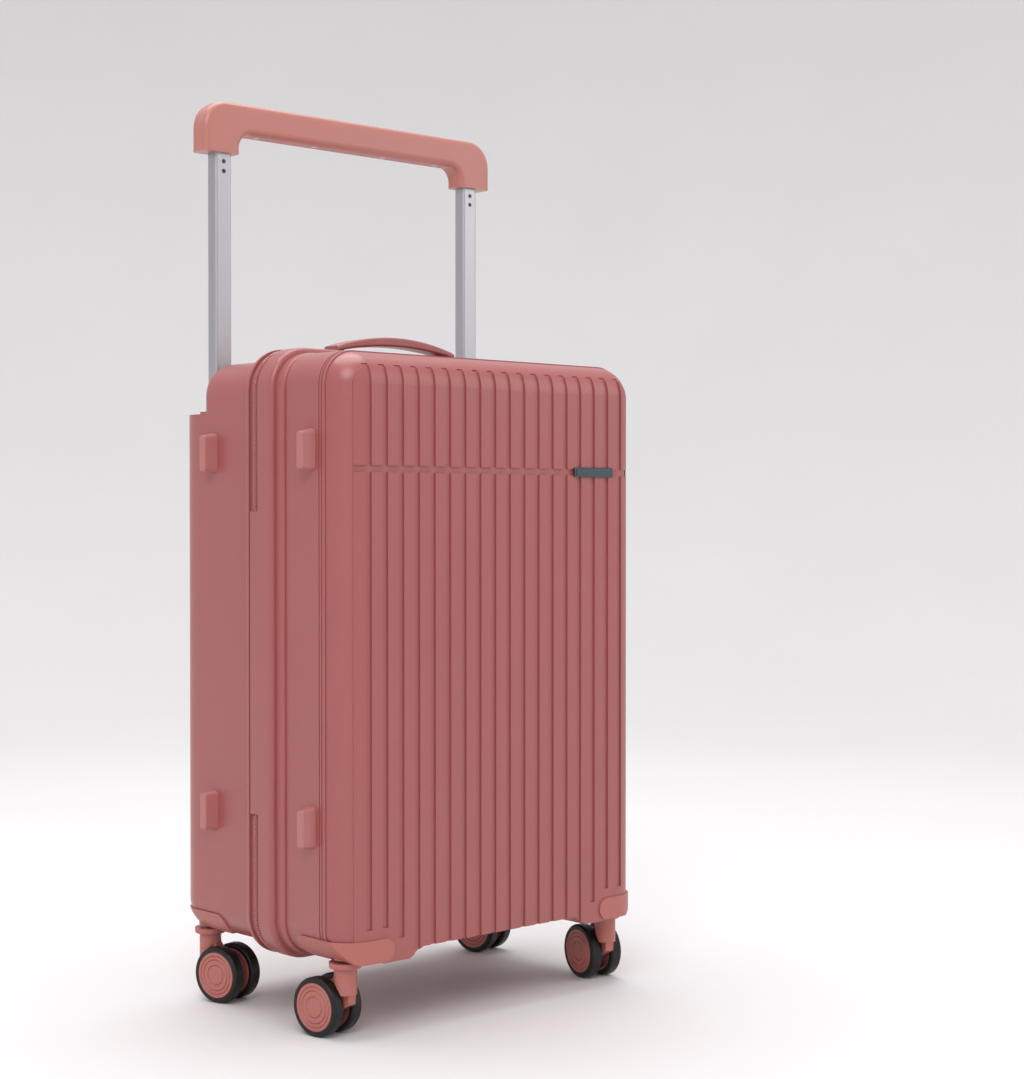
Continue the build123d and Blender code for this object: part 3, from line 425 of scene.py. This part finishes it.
zip_tape("zip_tape_front_cloth", "zip_tape_front", "lid", 1)
zip_tape("zip_tape_rear_cloth", "zip_tape_rear", "case", -1)
stitches("zip_stitches_front", "lid", SPLIT_Y - 5.6 * MM, 0.1 * MM)
stitches("zip_stitches_rear", "case", SPLIT_Y + 6.8 * MM, 0.1 * MM)

# %% [markdown]
# ## Zip teeth
#
# A coil zip is one nylon thread wound into teeth about 2.5 mm apart.  Up close each tooth is a
# small arch across the tape.  One arch, repeated along the rim, gives the dotted sparkle that
# a smooth ring can't; the teeth's lighter colour adds a painted highlight to it.


# %% Teeth
def zip_teeth(name, node, body, toward, shift):
    low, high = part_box(node)
    near, far = (high.y, low.y) if toward > 0 else (low.y, high.y)
    tall = 1.9 * MM
    points, faces = [], []
    path = rim_path(0.0, 1.3 * MM, ZIP_STOP_LOW, ZIP_STOP_HIGH)[1 + shift:-1:2]
    arch = [(far, 0.15), (far, 0.75), ((near + far) / 2, 1.0), (near, 0.80), (near, 0.15)]
    for x, z, away_x, away_z in path:
        along_x, along_z = away_z, -away_x
        base = len(points)
        for way in (-1, 1):
            half = 0.72 * MM
            for y, height in arch:
                lift = height * tall
                points.append((x + along_x * half * way + away_x * lift, y,
                               z + along_z * half * way + away_z * lift))
        for k in range(4):
            faces.append((base + k, base + k + 1, base + k + 6, base + k + 5))
        faces.append(tuple(base + k for k in range(4, -1, -1)))
        faces.append(tuple(base + k for k in range(5, 10)))
    return piece(name, points, faces, zip_nylon_painted_glint, body, [node], smooth=False)


zip_teeth("zip_teeth_front", "zip_coil_front", "lid", 1, 0)
zip_teeth("zip_teeth_rear", "zip_coil_rear", "case", -1, 1)

# %% [markdown]
# ## Hinge strip
#
# On the hinge side a strip of doubled cloth does the work of a hinge.  It is glued inside both
# rims and bends between them; its mesh here is a flat two-layer sheet on neither body.


# %% Cloth hinge
def hinge_cloth():
    rows, columns = 40, 24
    low, high = hinge_low, hinge_high
    points, faces = [], []
    for layer, x in ((0, low.x), (1, low.x + 1.2 * MM)):
        for row in range(rows + 1):
            for column in range(columns + 1):
                z = low.z + (high.z - low.z) * row / rows
                y = low.y + (high.y - low.y) * column / columns
                ripple = 0.12 * MM * math.sin(row * 1.7) if layer else 0.0
                points.append((x + ripple, y, z))
    wide, sheet = columns + 1, (rows + 1) * (columns + 1)
    for row in range(rows):
        for column in range(columns):
            k = row * wide + column
            faces.append((k, k + wide, k + wide + 1, k + 1))
            faces.append((sheet + k, sheet + k + 1, sheet + k + wide + 1, sheet + k + wide))
    edge = [c for c in range(wide)] + [r * wide + columns for r in range(1, rows + 1)]
    edge += [rows * wide + c for c in range(columns - 1, -1, -1)] + [r * wide for r in range(rows - 1, 0, -1)]
    for first, last in zip(edge, edge[1:] + edge[:1]):
        faces.append((first, last, sheet + last, sheet + first))
    return piece("hinge_cloth", points, faces, edge_cloth, None, ["hinge_strip"])


hinge = hinge_cloth()
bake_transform(hinge)

# %% [markdown]
# ## Quilted linings
#
# Inside, each half is lined with thin foam-backed cloth: a quilted panel, side walls, and a
# bound edge glued under the rim.  The tray is built from rings.  The outer rings are the side
# walls; the inner ones shrink to the middle, and a diamond pattern pushes them in along seams.


# %% Lining trays
def rounded_ring(half, low, high, radius, count):
    """Evenly spread points round an upright rounded rectangle."""
    ring = []
    width, height = half - radius, (high - low) / 2 - radius
    middle = (low + high) / 2
    total = 4 * (width + height) + 2 * math.pi * radius
    stretches = [(width * 2, 90), (height * 2, 0), (width * 2, -90), (height * 2, -180)]
    for number in range(count):
        left = total * number / count
        x, z = -width, middle + height
        for length, facing in stretches:
            angle = math.radians(facing)
            ahead = math.radians(facing - 90)
            if left <= length:
                ring.append((CASE_X + x + math.cos(ahead) * left + math.cos(angle) * radius,
                             z + math.sin(ahead) * left + math.sin(angle) * radius))
                break
            x, z, left = x + math.cos(ahead) * length, z + math.sin(ahead) * length, left - length
            arc = radius * math.pi / 2
            if left <= arc:
                turned = angle - left / radius
                ring.append((CASE_X + x + math.cos(turned) * radius, z + math.sin(turned) * radius))
                break
            left -= arc
    return ring


def quilting(x, z, pitch=0.058):
    """How far the padding is drawn in: deepest on a diamond grid of seams."""
    first = abs(math.sin(math.pi * (x + z) / pitch))
    second = abs(math.sin(math.pi * (x - z) / pitch))
    return 1 - min(1.0, 2.2 * min(first, second))


def lining_tray(name, node, body, rim_y, facing):
    """`facing` is +1 where the panel looks towards +Y, and -1 where it looks towards -Y."""
    low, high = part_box(node)
    half, radius, count = (high.x - low.x) / 2, 28 * MM, 300
    panel_y = high.y if facing > 0 else low.y
    points, faces, rings = [], [], 0

    middle = (low.z + high.z) / 2

    def add_ring(grow, y, shrink=1.0, quilt=0.0, drop=0.0):
        """`drop` lets the lower edge reach down to the rim, below the caster bosses."""
        nonlocal rings
        for x, z in rounded_ring(half + grow, low.z - grow - drop, high.z + grow, radius + grow, count):
            x, z = CASE_X + (x - CASE_X) * shrink, middle + (z - middle) * shrink
            points.append((x, y - facing * quilt * quilting(x, z), z))
        rings += 1

    rim_drop = 22 * MM
    add_ring(5.5 * MM, rim_y, drop=rim_drop)
    add_ring(5.5 * MM, rim_y - facing * 3 * MM, drop=rim_drop)
    add_ring(0.5 * MM, rim_y - facing * 9 * MM, drop=rim_drop)
    for share in (0.25, 0.5, 0.75, 1.0):
        add_ring(0.4 * MM * math.sin(share * 9), rim_y + (panel_y + facing * 3 * MM - rim_y) * share,
                 drop=rim_drop * (1 - share))
    add_ring(-3 * MM, panel_y)
    panel_rings = 46
    for number in range(1, panel_rings):
        add_ring(-3 * MM, panel_y, 1 - number / panel_rings, 1.8 * MM)
    for ring in range(rings - 1):
        for k in range(count):
            after = (k + 1) % count
            inner = (ring + 1) * count
            quad = (ring * count + k, ring * count + after, inner + after, inner + k)
            faces.append(quad if facing < 0 else quad[::-1])
    last, centre = (rings - 1) * count, len(points)
    points.append((CASE_X, panel_y - facing * 1.8 * MM * quilting(CASE_X, middle), middle))
    for k in range(count):
        fan = (last + k, last + (k + 1) % count, centre)
        faces.append(fan if facing < 0 else fan[::-1])
    tray = piece(name, points, faces, lining_cloth, body, [node])
    return tray


lining_tray("lid_lining_tray", "front_lining", "lid", SPLIT_Y - 8 * MM, 1)
lining_tray("case_lining_tray", "rear_lining", "case", SPLIT_Y + 10 * MM, -1)

# %% [markdown]
# ## Packing straps
#
# Four legs of ribbed elastic webbing hold the clothes down and meet in a buckle.  Webbing is
# woven in ridges along its length, so each leg is a flat bar with five low ridges.


# %% Straps
def strap_legs():
    low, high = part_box("packing_straps")
    middle_z = (low.z + high.z) / 2
    wide, thick, ridges = 25 * MM, high.y - low.y, 5
    points, faces = [], []
    for side in (-1, 1):
        for up in (-1, 1):
            start = (CASE_X + side * 18 * MM, middle_z + up * 18 * MM)
            end = (CASE_X + side * 178 * MM, middle_z + up * 150 * MM)
            long = math.hypot(end[0] - start[0], end[1] - start[1])
            ahead = ((end[0] - start[0]) / long, (end[1] - start[1]) / long)
            across = (-ahead[1], ahead[0])
            steps, columns = 30, ridges * 4
            base = len(points)
            for step in range(steps + 1):
                for column in range(columns + 1):
                    share = column / columns
                    ridge = 0.35 * MM * (0.5 - 0.5 * math.cos(share * ridges * 2 * math.pi))
                    sideways = (share - 0.5) * wide
                    reach = long * step / steps
                    points.append((start[0] + ahead[0] * reach + across[0] * sideways,
                                   low.y + 0.35 * MM - ridge,
                                   start[1] + ahead[1] * reach + across[1] * sideways))
            for step in range(steps):
                for column in range(columns):
                    k = base + step * (columns + 1) + column
                    faces.append((k, k + 1, k + columns + 2, k + columns + 1))
    legs = piece("strap_webbing", points, faces, webbing, None, ["packing_straps"])
    solid = legs.modifiers.new("thickness", "SOLIDIFY")
    solid.thickness = thick - 0.4 * MM
    solid.offset = -1.0
    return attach(legs, "case")


strap_legs()

# %% [markdown]
# ## Painted highlight on the badge
#
# The plain slate plate on the front catches the light on its left end; a strip of brighter metal
# let into the plate there is a painted highlight.  The plate itself carries no lettering.


# %% Painted highlight strip on the badge
def paint_badge_highlight():
    low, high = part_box("badge")
    left, right = low.x + 1.3 * MM, low.x + 2.6 * MM
    margin = 1.6 * MM
    bottom, top = low.z + margin, high.z - margin
    front, back, soft = low.y, low.y + 0.6 * MM, 0.3 * MM
    outline = [(left, bottom), (right, bottom), (right, top), (left, top)]
    inner = [(left + soft, bottom + soft), (right - soft, bottom + soft),
             (right - soft, top - soft), (left + soft, top - soft)]
    points = [(x, back, z) for x, z in outline] + [(x, front + soft / 3, z) for x, z in outline]
    points += [(x, front, z) for x, z in inner]
    faces = [(3, 2, 1, 0), (8, 9, 10, 11)]
    for row in (0, 4):
        for k in range(4):
            after = (k + 1) % 4
            faces.append((row + k, row + after, row + 4 + after, row + 4 + k))
    return piece("badge_painted_highlight_strip", points, faces, badge_painted_highlight, "lid", smooth=False)


paint_badge_highlight()

# %% [markdown]
# ## Floor and light
#
# A studio sweep is a floor that curves up into a wall, so no horizon shows.  Here it curves up
# all round, like a shallow bowl, because the camera may look from any side.  One big soft light
# hangs above the front left, a weaker one fills the right, and a pale sky fills the rest.


# %% Studio
def studio_bowl():
    around, radius, bend = 96, 5.0, 2.5
    profile = [(0.0, 0.0), (1.5, 0.0), (radius - bend, 0.0)]
    profile += [(radius - bend + bend * math.sin(a), bend - bend * math.cos(a))
                for a in (math.radians(9 * k) for k in range(1, 11))]
    points = [(0.0, 0.0, 0.0)]
    for reach, z in profile[1:]:
        for k in range(around):
            angle = 2 * math.pi * k / around
            points.append((reach * math.cos(angle), reach * math.sin(angle), z))
    faces = [(0, 1 + k, 1 + (k + 1) % around) for k in range(around)]
    for ring in range(len(profile) - 2):
        for k in range(around):
            first, after = 1 + ring * around + k, 1 + ring * around + (k + 1) % around
            faces.append((first, first + around, after + around, after))
    mesh = bpy.data.meshes.new("studio_floor")
    mesh.from_pydata(points, [], faces)
    mesh.shade_smooth()
    floor = bpy.data.objects.new("studio_floor", mesh)
    finish = Finish("pale_floor", Specular_IOR_Level=0.2)
    cloud = finish.noise(0.5, 3.0)
    finish.feed("Base Color", finish.mix(cloud, (0.715, 0.703, 0.705, 1), (0.750, 0.736, 0.738, 1)))
    finish.feed("Roughness", 0.6 + 0.1 * cloud)
    mesh.materials.append(finish.material)
    bpy.context.scene.collection.objects.link(floor)


def soft_light(name, place, aim, size, power, colour=(1, 1, 1)):
    lamp = bpy.data.lights.new(name, "AREA")
    lamp.shape = "DISK"
    lamp.size = size
    lamp.energy = power
    lamp.color = colour
    holder = bpy.data.objects.new(name, lamp)
    bpy.context.scene.collection.objects.link(holder)
    holder.location = place
    away = holder.location - Vector(aim)
    holder.rotation_euler = away.to_track_quat("Z", "Y").to_euler()


CASE_MIDDLE = (0, 0, 0.4)
studio_bowl()
soft_light("key_light", (-2.4, -2.2, 3.2), CASE_MIDDLE, 2.4, 68)
soft_light("fill_light", (2.6, -2.4, 1.8), CASE_MIDDLE, 2.0, 14)
soft_light("top_light", (0.2, 0.6, 3.6), (0, 0, 0.3), 3.4, 92)
world = bpy.data.worlds.new("studio_sky")
world.use_nodes = True
world.node_tree.nodes["Background"].inputs["Color"].default_value = (0.93, 0.92, 0.94, 1)
world.node_tree.nodes["Background"].inputs["Strength"].default_value = 0.76
bpy.context.scene.world = world
bpy.context.scene.view_settings.view_transform = "Standard"
print("studio ready")

# %% [markdown]
# ## Camera
#
# The camera stands low to the left of the suitcase, about as high as its middle, and looks
# almost level, so the upright lines stay upright.

# %% Camera
camera_data = bpy.data.cameras.new("camera")
camera_data.lens = 68.0
camera_data.sensor_width = 36.0
camera = bpy.data.objects.new("camera", camera_data)
camera.location = (-1.4654, -1.7200, 0.5277)
camera.rotation_euler = (math.radians(90 - 0.78), 0.0, math.radians(-43.01))
bpy.context.scene.collection.objects.link(camera)
bpy.context.scene.camera = camera

# %% Update the view layer
bpy.context.view_layer.update()
